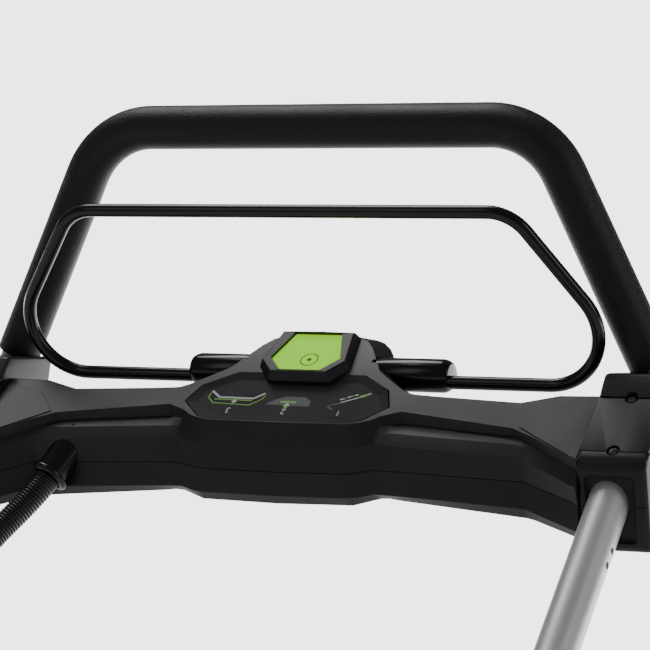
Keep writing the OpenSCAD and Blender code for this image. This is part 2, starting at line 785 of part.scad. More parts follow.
module blade_bolt() {
  color(steel) translate([0, blade_y, 0]) {
    translate([0, 0, blade_z - 7]) cylinder(h = 7, r = 9.5, $fn = 6);
    translate([0, 0, blade_z - 1]) cylinder(h = 34, r = 4.95, $fn = round_fn);
  }
}

module cover_slice(z, half_w, front, back, soft) {
  translate([0, 0, z]) linear_extrude(slice_t) offset(r = soft, $fn = soft_fn) offset(delta = -soft) polygon([
    [-half_w, back], [-half_w, front + 60], [-half_w + 50, front], [half_w - 50, front],
    [half_w, front + 60], [half_w, back]
  ]);
}

module cover_block(inset, z_low, z_top) {
  translate([0, blade_y, 0]) hull() {
    cover_slice(z_low, 150 - inset, -190 + inset, 186 - inset, 18);
    cover_slice(deck_z + 74, 140 - inset, -172 + inset, 182 - inset, 18);
    cover_slice(z_top, 100 - inset, -96 + inset, 158 - inset, 14);
  }
}

module motor_cover() {
  color(black) difference() {
    union() {
      difference() {
        cover_block(0, deck_z + 0.2, cover_z);
        cover_block(shell_wall, deck_z, cover_z - shell_wall);
      }
      intersection() {
        cover_block(1, deck_z, cover_z - 1);
        difference() {
          translate([-battery[0] / 2 - 5, well_y - 5, well_floor - 3])
            cube([battery[0] + 10, battery[1] + 10, 100]);
          translate([-battery[0] / 2 - 2, well_y - 2, well_floor]) cube([battery[0] + 4, battery[1] + 4, 100]);
        }
      }
      for (x = [-56, 56]) translate([0, lid_y, lid_z]) difference() {
        translate([x - 4, -6, -6]) cube([8, 12, 9]);
        x_rod(x - 10, x + 10, 2.5);
      }
    }
    translate([-battery[0] / 2 - 2, well_y - 2, well_floor]) cube([battery[0] + 4, battery[1] + 4, 100]);
    translate([66, well_y + 44, 300]) cylinder(h = 60, r = 7 + gap, $fn = round_fn);
    translate(gland_at) rotate([gland_tilt, 0, 0]) translate([0, 0, -20])
      cylinder(h = 60, r = conduit_d / 2 + 4, $fn = round_fn);
  }
}

module battery_pack() {
  color(charcoal) translate([-battery[0] / 2, well_y, well_floor + 0.2]) {
    cube([battery[0], battery[1], battery[2] - 8]);
    translate([8, 8, 0]) cube([battery[0] - 16, battery[1] - 16, battery[2]]);
  }
}

module battery_lid() {
  color(black) translate([0, lid_y, lid_z]) {
    x_rod(-50, 50, 2.6);
    x_slab(-58, 58, [[7.2, -2.6], [7.2, 1.5], [12, 5], [176, 5], [184, 1], [184, -2.6]]);
    translate([-50, 0, -2]) cube([100, 12, 4]);
    for (x = [-1, 1]) sided(x) x_rod(49, 62, 2.5 - run);
  }
}

module safety_key() {
  color(lime) translate([66, well_y + 44, 0]) {
    translate([0, 0, 318]) cylinder(h = cover_z - 318 + 2, r = 7, $fn = round_fn);
    translate([-4, -14, cover_z + 1]) cube([8, 28, 10]);
  }
}

// ---------- height setting and wheels ----------

module crank_arm(p, wheel, up) {
  translate([0, p[0], p[1]]) difference() {
    union() {
      hull() {
        x_rod(arm_x, arm_x + arm_t, 14);
        translate([0, wheel[0] - p[0], wheel[1] - p[1]]) x_rod(arm_x, arm_x + arm_t, 13);
      }
      if (up) translate([0, -7, 0]) translate([arm_x, 0, 0]) cube([arm_t, 14, link_rise]);
      if (up) translate([0, 0, link_rise]) x_rod(arm_x, arm_x + arm_t, 7);
    }
  }
}

module crank_axle(p, wheel) {
  color(steel) {
    translate([0, p[0], p[1]]) x_rod(-arm_x - 1, arm_x + 1, axle_r);
    for (side = [-1, 1]) sided(side) {
      crank_arm(p, wheel, side > 0);
      translate([0, wheel[0], wheel[1]]) x_rod(arm_x + 1, tyre_x + tyre_w - 2, axle_r);
    }
    translate([0, p[0], p[1] + link_rise]) x_rod(arm_x + 1, link_x + link_t, 3);
  }
}

module front_axle() { crank_axle(front_pivot, [front_y, front_wheel_r]); }
module rear_axle() { crank_axle(rear_pivot, [rear_y, rear_wheel_r]); }

module height_link() {
  a = [front_pivot[0], front_pivot[1] + link_rise];
  b = [rear_pivot[0], rear_pivot[1] + link_rise];
  reach = norm(b - a);
  color(steel) translate([0, a[0], a[1]]) rotate([atan2(b[1] - a[1], b[0] - a[0]), 0, 0]) difference() {
    union() {
      x_rod(link_x, link_x + link_t, 7);
      translate([link_x, 0, -5]) cube([link_t, reach, 10]);
      translate([0, reach, 0]) x_rod(link_x, link_x + link_t, 7);
    }
    x_rod(link_x - 1, link_x + link_t + 1, 3 + run);
    translate([0, reach, 0]) x_rod(link_x - 1, link_x + link_t + 1, 3 + run);
  }
}

module height_lever() {
  color(black) mirror([1, 0, 0]) translate([0, rear_pivot[0], rear_pivot[1]]) {
    x_slab(arm_x + arm_t + 0.02, arm_x + arm_t + 3, [[-8, 12], [-80, 92], [-68, 104], [8, 12], [8, -6], [-8, -6]]);
    translate([0, -75, 100]) x_rod(arm_x - 2, arm_x + arm_t + 14, 13);
  }
}

module rim(r, y, side) {
  color(charcoal) sided(side) translate([0, y, r]) difference() {
    union() {
      difference() {
        x_rod(tyre_x + 1, tyre_x + tyre_w - 1, r - 16);
        x_rod(tyre_x, tyre_x + tyre_w, r - 20);
      }
      x_rod(tyre_x + 2, tyre_x + tyre_w - 1, hub_r);
      x_rod(tyre_x + tyre_w - 14, tyre_x + tyre_w - 10, r - 18);
    }
    x_rod(tyre_x - 1, tyre_x + tyre_w - 1.5, axle_r + run);
    for (a = [0 : 60 : 359]) rotate([a, 0, 0]) translate([0, 0, (r - 20 + hub_r) / 2 + 1])
      x_rod(tyre_x, tyre_x + tyre_w, (r - 20 - hub_r) / 2 - 7);
  }
}

module tyre(r, y, side) {
  color(rubber) sided(side) translate([0, y, r]) rotate([0, 90, 0]) translate([0, 0, tyre_x])
    rotate_extrude($fn = 96) polygon([
      [r - 16, 1.5], [r - 10, 0], [r - 3, 3], [r, 10], [r, tyre_w - 10], [r - 3, tyre_w - 3],
      [r - 10, tyre_w], [r - 16, tyre_w - 1.5]
    ]);
}

// ---------- nodes ----------

console_upper();
console_lower();
icon_plate();
button_bezel();
control_board();
bail_switch();
end_housing(-1);  // end_housing_left
end_housing(1);  // end_housing_right
end_cover(-1);  // end_cover_left
end_cover(1);  // end_cover_right
housing_screws();
loop_tube();
loop_grip();
upper_tube(-1);  // upper_tube_left
upper_tube(1);  // upper_tube_right
bail_collars();
conduit_socket();
bail_rod();
bail_cam();
start_button();
button_spring();
bail_spring();
lower_tube(-1);  // lower_tube_left
lower_tube(1);  // lower_tube_right
handle_brace();
clamp_collars();
lever_pins();
cable_clips();
cam_lever(-1);  // cam_lever_left
cam_lever(1);  // cam_lever_right
conduit_upper();
conduit_lower();
deck_shell();
handle_brackets();
pivot_bolts();
motor_can();
motor_cover();
battery_pack();
conduit_gland();
flap_rod();
fold_knob(-1);  // fold_knob_left
fold_knob(1);  // fold_knob_right
battery_lid();
safety_key();
front_axle();
rear_axle();
height_link();
height_lever();
rear_flap();
rotor_shaft();
blade();
blade_bolt();
rim(front_wheel_r, front_y, -1);  // front_rim_left
rim(front_wheel_r, front_y, 1);  // front_rim_right
rim(rear_wheel_r, rear_y, -1);  // rear_rim_left
rim(rear_wheel_r, rear_y, 1);  // rear_rim_right
tyre(front_wheel_r, front_y, -1);  // front_tyre_left
tyre(front_wheel_r, front_y, 1);  // front_tyre_right
tyre(rear_wheel_r, rear_y, -1);  // rear_tyre_left
tyre(rear_wheel_r, rear_y, 1);  // rear_tyre_right
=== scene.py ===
import json
import math

import bmesh
import bpy
from mathutils import Matrix, Vector


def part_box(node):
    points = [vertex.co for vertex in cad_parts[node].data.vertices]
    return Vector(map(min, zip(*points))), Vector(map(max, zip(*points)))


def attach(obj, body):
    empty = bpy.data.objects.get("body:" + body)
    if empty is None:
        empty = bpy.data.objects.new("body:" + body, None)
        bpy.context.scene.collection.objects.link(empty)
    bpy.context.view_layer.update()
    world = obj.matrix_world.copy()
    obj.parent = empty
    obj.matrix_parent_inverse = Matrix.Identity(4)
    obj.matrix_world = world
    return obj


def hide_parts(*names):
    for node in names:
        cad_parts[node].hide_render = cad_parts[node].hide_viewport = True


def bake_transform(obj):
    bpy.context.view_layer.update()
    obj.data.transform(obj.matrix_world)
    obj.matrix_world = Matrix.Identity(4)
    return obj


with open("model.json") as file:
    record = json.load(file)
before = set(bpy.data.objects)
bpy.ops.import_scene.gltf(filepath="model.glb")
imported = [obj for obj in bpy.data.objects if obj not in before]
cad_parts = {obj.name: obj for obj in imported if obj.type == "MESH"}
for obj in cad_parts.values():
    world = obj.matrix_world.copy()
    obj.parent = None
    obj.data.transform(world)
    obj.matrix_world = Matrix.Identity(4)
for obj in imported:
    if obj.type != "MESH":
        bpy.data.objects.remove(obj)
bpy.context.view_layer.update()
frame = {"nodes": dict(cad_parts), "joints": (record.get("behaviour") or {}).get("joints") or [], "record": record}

# ---------------------------------------------------------------------------
# Camera
# A long lens in front of the handle, a little above it and to its right.
# The handle frame has its origin on the bail axis and its Y up the tubes.
# ---------------------------------------------------------------------------
MM = 0.001
JOINTS = {joint["name"]: joint for joint in frame["joints"]}
BAIL_AXIS = Vector(JOINTS["bail_pull"]["pos_m"])
UP_TUBES = Vector(JOINTS["handle_telescope"]["axis"]).normalized()
TILT = math.atan2(UP_TUBES.z, UP_TUBES.y)
HANDLE = Matrix.Translation(BAIL_AXIS) @ Matrix.Rotation(TILT, 4, "X") @ Matrix.Scale(MM, 4)

CAMERA_FROM_BAIL = Vector((1.0051, -2.1010, 0.3591))
CAMERA_YAW, CAMERA_PITCH, CAMERA_ROLL = 25.29, -7.82, -2.45
LENS_MM, SENSOR_MM = 177.2, 36.0

camera_data = bpy.data.cameras.new("camera")
camera_data.sensor_width = SENSOR_MM
camera_data.lens = LENS_MM
camera_data.clip_end = 50
camera = bpy.data.objects.new("camera", camera_data)
bpy.context.scene.collection.objects.link(camera)
camera.matrix_world = (
    Matrix.Translation(BAIL_AXIS + CAMERA_FROM_BAIL)
    @ Matrix.Rotation(math.radians(CAMERA_YAW), 4, "Z")
    @ Matrix.Rotation(math.radians(90 + CAMERA_PITCH), 4, "X")
    @ Matrix.Rotation(math.radians(CAMERA_ROLL), 4, "Z")
)
bpy.context.scene.camera = camera

# ---------------------------------------------------------------------------
# Stage and light
# A wide pale floor with a painted glow that grows brighter in the distance, with soft lamps above and
# to the sides, and a dim room around them so that black parts stay black.
# ---------------------------------------------------------------------------


def link(name, mesh):
    piece = bpy.data.objects.new(name, mesh)
    bpy.context.scene.collection.objects.link(piece)
    return piece


def glowing_floor_material():
    mat = bpy.data.materials.new("stage_floor_painted_glow")
    mat.use_nodes = True
    shader = mat.node_tree.nodes["Principled BSDF"]
    shader.inputs["Base Color"].default_value = (0.62, 0.62, 0.62, 1)
    shader.inputs["Roughness"].default_value = 0.95
    # Painted glow: the floor emits white light that rises with distance along Y, from 0.4 to 3.6, so the far floor
    # reads brighter than the lamps alone make it.
    shader.inputs["Emission Color"].default_value = (1, 1, 1, 1)
    place = mat.node_tree.nodes.new("ShaderNodeTexCoord")
    depth = mat.node_tree.nodes.new("ShaderNodeSeparateXYZ")
    glow = mat.node_tree.nodes.new("ShaderNodeMapRange")
    for socket, value in (("From Min", 1.2), ("From Max", 3.0), ("To Min", 0.4), ("To Max", 3.6)):
        glow.inputs[socket].default_value = value
    mat.node_tree.links.new(place.outputs["Object"], depth.inputs["Vector"])
    mat.node_tree.links.new(depth.outputs["Y"], glow.inputs["Value"])
    mat.node_tree.links.new(glow.outputs["Result"], shader.inputs["Emission Strength"])
    return mat


def make_stage():
    half_width, near, far = 60, -60, 90
    mesh = bpy.data.meshes.new("stage")
    mesh.from_pydata([(-half_width, near, -0.001), (half_width, near, -0.001), (half_width, far, -0.001),
                      (-half_width, far, -0.001)], [], [(0, 1, 2, 3)])
    mesh.materials.append(glowing_floor_material())
    link("stage", mesh)


def soft_lamp(name, offset, size, power, size_y=None):
    data = bpy.data.lights.new(name, "AREA")
    data.energy = power
    data.size = size
    if size_y:
        data.shape = "RECTANGLE"
        data.size_y = size_y
    lamp = bpy.data.objects.new(name, data)
    bpy.context.scene.collection.objects.link(lamp)
    lamp.location = BAIL_AXIS + Vector(offset)
    lamp.rotation_euler = (-Vector(offset)).to_track_quat("-Z", "Y").to_euler()


make_stage()
world = bpy.data.worlds.new("world")
world.use_nodes = True
world.node_tree.nodes["Background"].inputs["Color"].default_value = (1, 1, 1, 1)
world.node_tree.nodes["Background"].inputs["Strength"].default_value = 0.12
bpy.context.scene.world = world
soft_lamp("lamp_top", (-0.75, 0.6, 1.7), 1.0, 17)
soft_lamp("lamp_front", (-1.2, -2.0, 1.6), 0.7, 2.5, 1.4)
soft_lamp("lamp_right", (2.2, -0.2, 1.0), 0.6, 7, 1.6)

# ---------------------------------------------------------------------------
# Finishes
# Moulded plastic, soft-touch rubber, paint and metal, each with its own grain,
# a slow drift of colour and gloss, and a fine bump.
# ---------------------------------------------------------------------------


def finish(name, color, rough, grain_mm=0.5, bump=0.05, metallic=0.0, drift=0.15, rough_drift=0.08,
           stretch=(1, 1, 1), coat=0.0, cells=False, specular=0.5):
    mat = bpy.data.materials.new(name)
    mat.use_nodes = True
    tree = mat.node_tree
    shader = tree.nodes["Principled BSDF"]
    shader.inputs["Metallic"].default_value = metallic
    shader.inputs["Coat Weight"].default_value = coat
    shader.inputs["Specular IOR Level"].default_value = specular
    place = tree.nodes.new("ShaderNodeTexCoord")
    mapping = tree.nodes.new("ShaderNodeMapping")
    mapping.inputs["Scale"].default_value = stretch
    tree.links.new(place.outputs["Object"], mapping.inputs["Vector"])
    broad = tree.nodes.new("ShaderNodeTexNoise")
    broad.inputs["Scale"].default_value = 14
    broad.inputs["Detail"].default_value = 4
    tree.links.new(place.outputs["Object"], broad.inputs["Vector"])
    tint = tree.nodes.new("ShaderNodeMix")
    tint.data_type = "RGBA"
    low = tuple(c * (1 - drift) for c in color)
    high = tuple(min(1, c * (1 + drift)) for c in color)
    tint.inputs["A"].default_value = (*low, 1)
    tint.inputs["B"].default_value = (*high, 1)
    tree.links.new(broad.outputs["Fac"], tint.inputs["Factor"])
    tree.links.new(tint.outputs["Result"], shader.inputs["Base Color"])
    gloss = tree.nodes.new("ShaderNodeMapRange")
    gloss.inputs["To Min"].default_value = max(0.02, rough - rough_drift)
    gloss.inputs["To Max"].default_value = min(1, rough + rough_drift)
    fine = tree.nodes.new("ShaderNodeTexVoronoi" if cells else "ShaderNodeTexNoise")
    fine.inputs["Scale"].default_value = 1000 / grain_mm
    tree.links.new(mapping.outputs["Vector"], fine.inputs["Vector"])
    height = fine.outputs["Distance"] if cells else fine.outputs["Fac"]
    tree.links.new(broad.outputs["Fac"], gloss.inputs["Value"])
    tree.links.new(gloss.outputs["Result"], shader.inputs["Roughness"])
    lift = tree.nodes.new("ShaderNodeBump")
    lift.inputs["Strength"].default_value = bump
    lift.inputs["Distance"].default_value = grain_mm * MM * 0.5
    tree.links.new(height, lift.inputs["Height"])
    tree.links.new(lift.outputs["Normal"], shader.inputs["Normal"])
    return mat


FINISH = {
    "loop_core": finish("loop_core", (0.5, 0.5, 0.52), 0.35, 0.4, 0.1, 1.0),
    "soft_black": finish("soft_black", (0.011, 0.011, 0.012), 0.46, 1.1, 0.45, cells=True, specular=0.42),
    "console_black": finish("console_black", (0.017, 0.017, 0.018), 0.42, 0.35, 0.12, specular=0.4),
    "gloss_black": finish("gloss_black", (0.006, 0.006, 0.0065), 0.2, 0.6, 0.04, specular=0.5),
    "lime": finish("lime", (0.2, 0.8, 0.004), 0.5, 0.5, 0.04, drift=0.05, specular=0.15),
    "silver_tube": finish("silver_tube", (0.72, 0.725, 0.73), 0.42, 0.3, 0.05, 0.45, 0.04,
                          stretch=(1, 0.05, 0.05)),
    "black_steel": finish("black_steel", (0.02, 0.02, 0.021), 0.35, 0.8, 0.15),
    "bright_steel": finish("bright_steel", (0.55, 0.55, 0.57), 0.28, 0.3, 0.08, 1.0, 0.08),
    "icon_black": finish("icon_black", (0.009, 0.009, 0.01), 0.6, 0.45, 0.35, specular=0.3),
    "board_green": finish("board_green", (0.03, 0.2, 0.08), 0.4, 1.5, 0.1),
    "switch_blue": finish("switch_blue", (0.06, 0.08, 0.25), 0.45, 0.5, 0.05),
    "cam_white": finish("cam_white", (0.75, 0.75, 0.7), 0.5, 0.5, 0.05),
    "conduit_black": finish("conduit_black", (0.014, 0.014, 0.015), 0.3, 0.5, 0.06, specular=0.6),
    "deck_paint": finish("deck_paint", (0.016, 0.016, 0.018), 0.3, 1.2, 0.12, coat=0.3),
    "cover_black": finish("cover_black", (0.02, 0.02, 0.021), 0.5, 0.4, 0.2),
    "motor_metal": finish("motor_metal", (0.3, 0.3, 0.32), 0.5, 0.6, 0.3, 1.0),
    "tyre_rubber": finish("tyre_rubber", (0.02, 0.02, 0.02), 0.75, 0.7, 0.3),
    "rim_grey": finish("rim_grey", (0.07, 0.07, 0.075), 0.45, 0.4, 0.15),
    "pack_grey": finish("pack_grey", (0.05, 0.05, 0.055), 0.5, 0.4, 0.2),
}
# Painted glow: every part in the lime finish, the start key among them, emits green light of its own, though it is
# no lamp.
lime_painted_glow_shader = FINISH["lime"].node_tree.nodes["Principled BSDF"]
lime_painted_glow_shader.inputs["Emission Color"].default_value = (0.28, 0.62, 0.02, 1)
lime_painted_glow_shader.inputs["Emission Strength"].default_value = 1.0
for part in frame["record"]["subparts"]:
    node = frame["nodes"][part["node"]]
    node.data.materials.clear()
    node.data.materials.append(FINISH[part["material_slot"]])

# ---------------------------------------------------------------------------
# Console shells
# Two black mouldings screwed together at a seam. The upper one has a flat face
# that falls slightly to the rear, and a long pocket along the front of each arm.
# ---------------------------------------------------------------------------
SEAM_Z, GAP_Z = -2.0, 0.45
SHELL_WALL, SHELL_EDGE = 2.4, 0.45
SHARP = 8


def face_z(y):
    return 13.5 - 0.1 * y


def along(line, x):
    x = abs(x)
    for a, b in zip(line, line[1:]):
        if x <= b[0]:
            t = (x - a[0]) / (b[0] - a[0])
            return [p + (q - p) * t for p, q in zip(a[1:], b[1:])]
    return list(line[-1][1:])


TOP_REAR = [(0, 34), (31, 34), (38, 30), (45, 22), (52, 10), (60, -4), (72, -14), (90, -28), (100, -30),
            (179, -34.8), (206, -26), (240, -25)]
SEAM_REAR = [(0, 44), (42, 43), (54, 32), (68, 2), (78, -10), (90, -21), (100, -23), (179, -27), (206, -18),
             (240, -18)]
TOP_FRONT = [(0, -64.5), (56, -64), (66, -61.5), (72, -59), (77, -55.5), (79, -54), (93, -48.3), (182, -62),
             (200, -70.5), (240, -94.5)]
POCKET_FOOT = [(79, -60, 16.0), (93, -53.5, 11.3), (182, -64.5, 14), (200, -73.5, 14.5), (240, -97, 18)]
LEDGE = [(79, -66, 14.3), (93, -66.5, 14.4), (182, -72, 14.2), (200, -74.5, 14), (240, -98, 17)]
FACET = [(0, -82, 12.5), (56, -81, 12.5), (66, -79.5, 12.5), (77, -75.7, 12.5), (97, -77.6, 12.5),
         (194.6, -84.3, 12), (234, -105.6, 12), (240, -108, 12)]
SEAM_FRONT = [(0, -93), (56, -92.3), (66, -90.5), (77, -87.3), (98, -87.8), (194.5, -92.5), (234, -109),
              (240, -113)]
LIP = [(0, -103), (56, -102.3), (66, -101), (77, -97.3), (98, -98), (194, -104.5), (233, -121), (240, -124)]
BELLY = [(0, -102), (60, -100.5), (82, -91.5), (94, -93.7), (197, -105), (240, -122)]
STATIONS = [0, 28, 38, 45, 52, 56, 60, 66, 72, 77, 79, 86, 93, 97, 112, 140, 165, 179, 182, 188, 194.6, 200,
            206, 220, 234, 239.5]


def upper_row(x):
    front_y, = along(SEAM_FRONT, x)
    facet = along(FACET, x)
    top_y, = along(TOP_FRONT, x)
    rear_y, = along(TOP_REAR, x)
    low_y, = along(SEAM_REAR, x)
    top = [top_y, face_z(top_y)]
    if abs(x) < 78:
        ledge = [f + (t - f) / 3 for f, t in zip(facet, top)]
        foot = [f + (t - f) * 2 / 3 for f, t in zip(facet, top)]
    else:
        ledge, foot = along(LEDGE, x), along(POCKET_FOOT, x)
    crown = rear_y + 1.5
    return [[front_y, SEAM_Z + GAP_Z / 2], facet, ledge, foot, top, [rear_y, face_z(rear_y)],
            [crown, face_z(rear_y) - 1.2], [low_y, SEAM_Z + GAP_Z / 2]]


def lower_row(x):
    front_y, = along(SEAM_FRONT, x)
    lip_y, = along(LIP, x)
    belly_y, = along(BELLY, x)
    rear_y, = along(SEAM_REAR, x)
    return [[front_y, SEAM_Z - GAP_Z / 2], [lip_y, -16.5], [belly_y, -26], [rear_y - 9, -26],
            [rear_y, SEAM_Z - GAP_Z / 2]]


def skin(name, row_at, flip):
    xs = [-x for x in reversed(STATIONS[1:])] + STATIONS
    rows = [row_at(x) for x in xs]
    n = len(rows[0])
    verts = [HANDLE @ Vector((x, y, z)) for x, row in zip(xs, rows) for y, z in row]
    faces = []
    for i in range(len(xs) - 1):
        for j in range(n - 1):
            quad = (i * n + j, (i + 1) * n + j, (i + 1) * n + j + 1, i * n + j + 1)
            faces.append(quad[::-1] if flip else quad)
    mesh = bpy.data.meshes.new(name)
    mesh.from_pydata(verts, [], faces)
    return link(name, mesh)


def add_bevel(piece, width_mm, segments=2, angle=9):
    bevel = piece.modifiers.new("edge", "BEVEL")
    bevel.width = width_mm * MM
    bevel.segments = segments
    bevel.limit_method = "ANGLE"
    bevel.angle_limit = math.radians(angle)
    bevel.use_clamp_overlap = True


def thicken(piece):
    wall = piece.modifiers.new("wall", "SOLIDIFY")
    wall.thickness = SHELL_WALL * MM
    wall.offset = -1


def carve(piece, cutter):
    cut = piece.modifiers.new("cut", "BOOLEAN")
    cut.operation = "DIFFERENCE"
    cut.solver = "EXACT"
    cut.object = cutter


def settle(piece, slot_name, body, nodes=(), cutters=(), angle=30):
    bpy.context.view_layer.update()
    mesh = bpy.data.meshes.new_from_object(piece.evaluated_get(bpy.context.evaluated_depsgraph_get()))
    piece.modifiers.clear()
    piece.data = mesh
    for cutter in cutters:
        bpy.data.objects.remove(cutter)
    for face in mesh.polygons:
        face.use_smooth = True
        face.material_index = 0
    mesh.set_sharp_from_angle(angle=math.radians(angle))
    mesh.materials.clear()
    mesh.materials.append(FINISH[slot_name])
    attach(piece, body)
    if nodes:
        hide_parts(*nodes)


def mirrored(half):
    return list(half) + [(-x, *rest) for x, *rest in reversed(half) if x > 0]


def rings(name, stack, close=True, frame_of=HANDLE):
    """A closed piece from rings of equal length, given from one end to the other."""
    n = len(stack[0])
    verts = [frame_of @ Vector(p) for ring in stack for p in ring]
    faces = []
    for i in range(len(stack) - 1):
        for j in range(n):
            k = (j + 1) % n
            faces.append((i * n + j, i * n + k, (i + 1) * n + k, (i + 1) * n + j))
    if close:
        faces.append(tuple(range(n))[::-1])
        faces.append(tuple((len(stack) - 1) * n + j for j in range(n)))
    mesh = bpy.data.meshes.new(name)
    mesh.from_pydata(verts, [], faces)
    work = bmesh.new()
    work.from_mesh(mesh)
    bmesh.ops.recalc_face_normals(work, faces=work.faces)
    work.to_mesh(mesh)
    work.free()
    return link(name, mesh)


def round_ring(centre, axis, radius, count=40):
    axis = Vector(axis).normalized()
    side = axis.orthogonal().normalized()
    up = axis.cross(side)
    angles = [2 * math.pi * k / count for k in range(count)]
    return [Vector(centre) + radius * (math.cos(a) * side + math.sin(a) * up) for a in angles]


def turned(name, start, axis, profile, count=40, frame_of=HANDLE, close=True):
    """A turned piece: profile is a list of (distance along the axis, radius)."""
    axis = Vector(axis).normalized()
    stack = [round_ring(Vector(start) + axis * t, axis, r, count) for t, r in profile]
    return rings(name, stack, close, frame_of)


def on_face(half, lift):
    return [(x, y, face_z(y) + lift) for x, y in mirrored(half)]


FRAME_OUT = [(0, -63.6), (56.5, -63.4), (65.5, -60.6), (82.6, -44), (75.3, -25.4), (51, -9.4), (0, -9.4)]
FRAME_IN = [(0, -57.5), (53, -57), (60, -53), (74, -43.4), (69, -30), (49, -17), (0, -17)]
BEZEL_FOOT = [(0, -18.5), (24.5, -18.5), (37, -3), (32, 32.5), (0, 33.2)]
BEZEL_RIM = [(0, -15), (22.5, -15), (34, -1.6), (29, 32), (0, 32.6)]
SOCKET_AT = (-176, -95, -3)
SOCKET_AXIS = (-0.339, -0.930, -0.139)
COLLAR_SHIFT = (6, 0.2)
COLLAR_END = {-1: 99, 1: 110}

upper = skin("console_upper_shell", upper_row, False)
thicken(upper)
add_bevel(upper, SHELL_EDGE)
tray_cut = rings("tray_cut", [on_face(FRAME_OUT, -12), on_face(FRAME_OUT, 8)])
well_cut = rings("well_cut", [on_face(BEZEL_FOOT, -9), on_face(BEZEL_FOOT, 8)])
socket_cut = turned("socket_cut", SOCKET_AT, SOCKET_AXIS, [(-30, 13.2), (40, 13.2)])
lower = skin("console_lower_shell", lower_row, True)
thicken(lower)
add_bevel(lower, SHELL_EDGE)
for cutter in (tray_cut, well_cut, socket_cut):
    carve(upper, cutter)
carve(lower, socket_cut)
collar_cuts = []
for side in (-1, 1):
    bore = turned("collar_cut", (side * 50, *COLLAR_SHIFT), (side, 0, 0), [(0, 12.8), (70, 12.8)])
    collar_cuts.append(bore)
    carve(upper, bore)
    carve(lower, bore)
settle(upper, "console_black", "upper_handle", ["console_upper"], [tray_cut, well_cut], SHARP)
settle(lower, "console_black", "upper_handle", ["console_lower"], [socket_cut] + collar_cuts, SHARP)

# ---------------------------------------------------------------------------
# Icon plate
# A grained panel let into the face, with a bright moulded bevel round it and
# three printed signs: fold, start, and the steps of the bail.
# ---------------------------------------------------------------------------
INNER_FLOOR = -1.7
WELL_RIM = [(0, -62.9), (56.2, -62.7), (65, -60), (81.8, -44), (74.6, -26), (50.7, -10), (0, -10)]
PLATE_EDGE = [(x * 0.985, y) for x, y in FRAME_OUT]
BEZEL_ROOM = [(x * 1.01, y - 0.1 if y < 0 else y) for x, y in BEZEL_FOOT]

tray = rings("icon_tray", [on_face(PLATE_EDGE, -5), on_face(PLATE_EDGE, 0.1)])
tray_well = rings("tray_well", [on_face(FRAME_IN, INNER_FLOOR), on_face(WELL_RIM, 0.12), on_face(WELL_RIM, 4)])
carve(tray, tray_well)
bezel_cut = rings("bezel_cut", [on_face(BEZEL_ROOM, -9), on_face(BEZEL_ROOM, 9)])
carve(tray, bezel_cut)
add_bevel(tray, 0.2)
settle(tray, "icon_black", "upper_handle", ["icon_plate"], [tray_well, bezel_cut], SHARP)

FINISH["print_white"] = finish("print_white", (0.75, 0.76, 0.75), 0.5, 0.5, 0.02)
FINISH["print_green"] = finish("print_green", (0.22, 0.62, 0.03), 0.5, 0.5, 0.02)
FINISH["print_grey"] = finish("print_grey", (0.06, 0.065, 0.07), 0.5, 0.5, 0.02)


def face_up(mesh):
    up = HANDLE.to_3x3() @ Vector((0, 0, 1))
    work = bmesh.new()
    work.from_mesh(mesh)
    for face in work.faces:
        face.normal_update()
        if face.normal.dot(up) < 0:
            face.normal_flip()
    work.to_mesh(mesh)
    work.free()


def stroke(points, width, lift):
    """A printed line: a thin strip along the points, on the floor of the plate."""
    verts, faces = [], []
    for (ax, ay), (bx, by) in zip(points, points[1:]):
        d = math.hypot(bx - ax, by - ay) or 1
        ux, uy = (bx - ax) / d, (by - ay) / d
        px, py = -uy * width / 2, ux * width / 2
        ex, ey = ux * width / 5, uy * width / 5
        n = len(verts)
        for x, y in ((ax + px - ex, ay + py - ey), (ax - px - ex, ay - py - ey),
                     (bx - px + ex, by - py + ey), (bx + px + ex, by + py + ey)):
            verts.append((x, y, face_z(y) + INNER_FLOOR + lift))
        faces.append((n, n + 1, n + 2, n + 3))
    return verts, faces


def printed(name, finish_name, shapes, flats, lift):
    verts, faces = [], []
    for points, width in shapes:
        v, f = stroke(points, width, lift)
        faces += [tuple(i + len(verts) for i in face) for face in f]
        verts += v
    for flat in flats:
        n = len(verts)
        verts += [(x, y, face_z(y) + INNER_FLOOR + lift) for x, y in flat]
        faces.append(tuple(n + i for i in range(len(flat))))
    mesh = bpy.data.meshes.new(name)
    mesh.from_pydata([HANDLE @ Vector(v) for v in verts], [], faces)
    face_up(mesh)
    mesh.materials.append(FINISH[finish_name])
    piece = link(name, mesh)
    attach(piece, "upper_handle")


printed("sign_white", "print_white", [
    ([(-65, -30.5), (-57, -37), (-29, -37.5), (-22, -31.5)], 1.8),
    ([(41.5, -39), (55, -32)], 1.2), ([(59, -29.5), (61.5, -28)], 1.5),
    ([(40, -35.6), (42, -34.8)], 1.4), ([(45, -33), (47, -32)], 1.4), ([(50, -30.6), (52, -29.8)], 1.4),
], [[(-46, -42), (-43.4, -38.8), (-40.8, -42)], [(-3, -44.5), (0, -41), (3, -44.5)]], 0.1)
printed("sign_green", "print_green", [
    ([(-65.5, -32.5), (-66, -37.5), (-60, -43.5), (-30, -45), (-22, -38), (-21, -34)], 0.9),
    ([(-60, -39.3), (-30, -39.7)], 1.2), ([(-5.5, -40.2), (6, -40.2)], 2.2), ([(0, -47), (0, -44.2)], 2.6),
    ([(-43.4, -44.6), (-43.4, -42)], 2.6), ([(55, -31.6), (58, -30.2)], 2.6),
    ([(42.6, -34.5), (43.6, -34)], 1.4), ([(47.6, -31.8), (48.6, -31.2)], 1.4),
], (), 0.08)
printed("sign_grey", "print_grey", [([(41, -39.6), (34.5, -42), (33, -44), (37.5, -46.5)], 1.3)],
        [[(-18, -43.5), (18, -44.5), (17.6, -38.5), (12, -34.5), (-4, -34), (-11, -38)]], 0.05)
